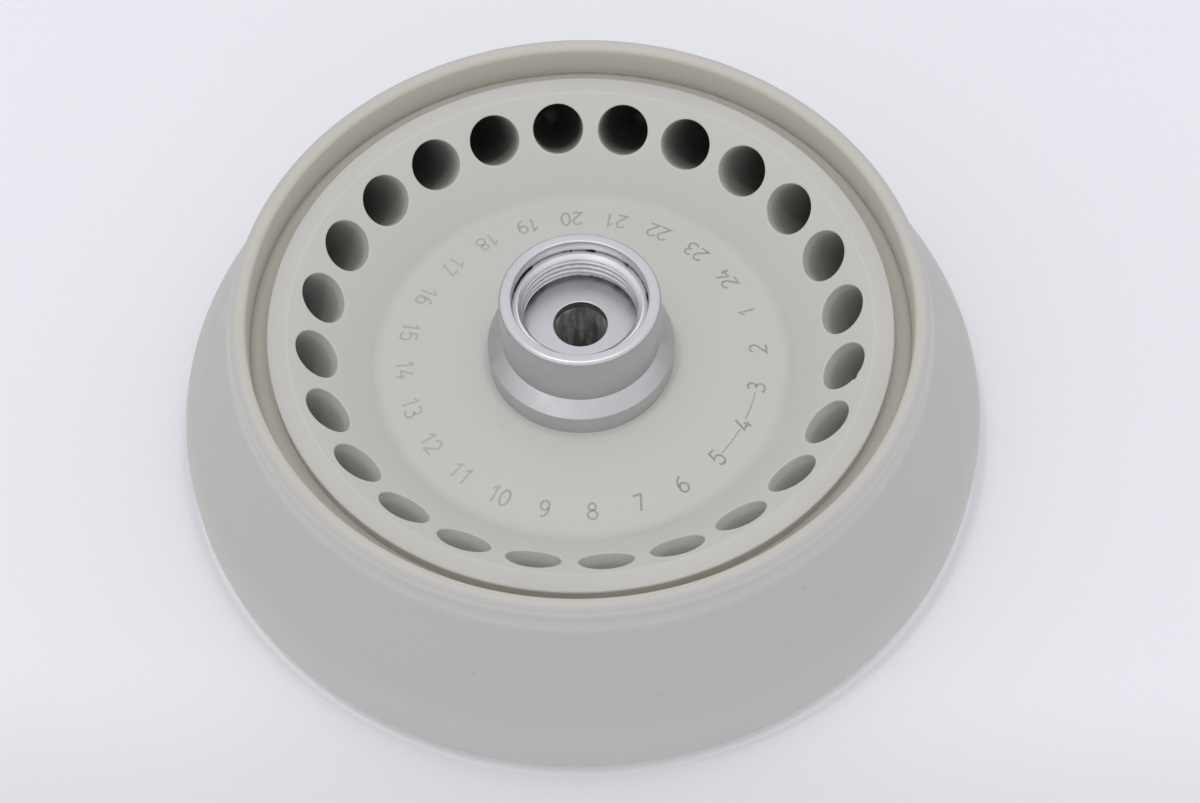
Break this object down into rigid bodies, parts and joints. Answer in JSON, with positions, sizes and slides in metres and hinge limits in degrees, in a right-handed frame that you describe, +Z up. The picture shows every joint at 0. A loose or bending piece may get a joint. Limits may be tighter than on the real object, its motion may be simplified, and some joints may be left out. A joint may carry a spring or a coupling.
{
  "type": "microcentrifuge fixed-angle rotor",
  "caption": "Bare fixed-angle microcentrifuge rotor: hollow grey moulded body with slanted tube wells around a turned metal hub.",
  "frame": {"origin": "on the spin axis, in the plane that the foot of the base cover stands on", "axes": "+Z up along the spin axis; the X and Y axes pass midway between tube wells"},
  "size_m": [0.172, 0.172, 0.044],
  "materials": {
    "shell_plastic": "matt moulded polypropylene",
    "carrier_plastic": "matt moulded polypropylene",
    "base_plastic": "matt moulded polypropylene",
    "turned_aluminium": "satin turned",
    "ring_steel": "turned stainless steel",
    "bush_dark": "satin, dark",
    "fastener_steel": "bright",
    "insert_brass": "knurled",
    "magnet_nickel": "nickel plated",
    "seal_rubber": "matt"
  },
  "bodies": {
    "root": {"outer_shell": "shell_plastic", "tube_carrier": "carrier_plastic", "base_cover": "base_plastic", "hub": "turned_aluminium", "lid_thread_ring": "ring_steel", "bore_bush": "bush_dark", "bush_retaining_ring": "fastener_steel", "hub_clamp_ring": "turned_aluminium", "hub_spacer": "turned_aluminium", "base_ring_nut": "turned_aluminium", "hub_screws": "fastener_steel", "hub_screw_washers": "fastener_steel", "hub_dowels": "fastener_steel", "drive_pins": "fastener_steel", "base_screws": "fastener_steel", "base_screw_washers": "fastener_steel", "shell_inserts": "insert_brass", "id_magnets": "magnet_nickel", "hub_seal_ring": "seal_rubber", "shell_seal_ring": "seal_rubber", "base_gasket": "seal_rubber"}
  },
  "joints": []
}
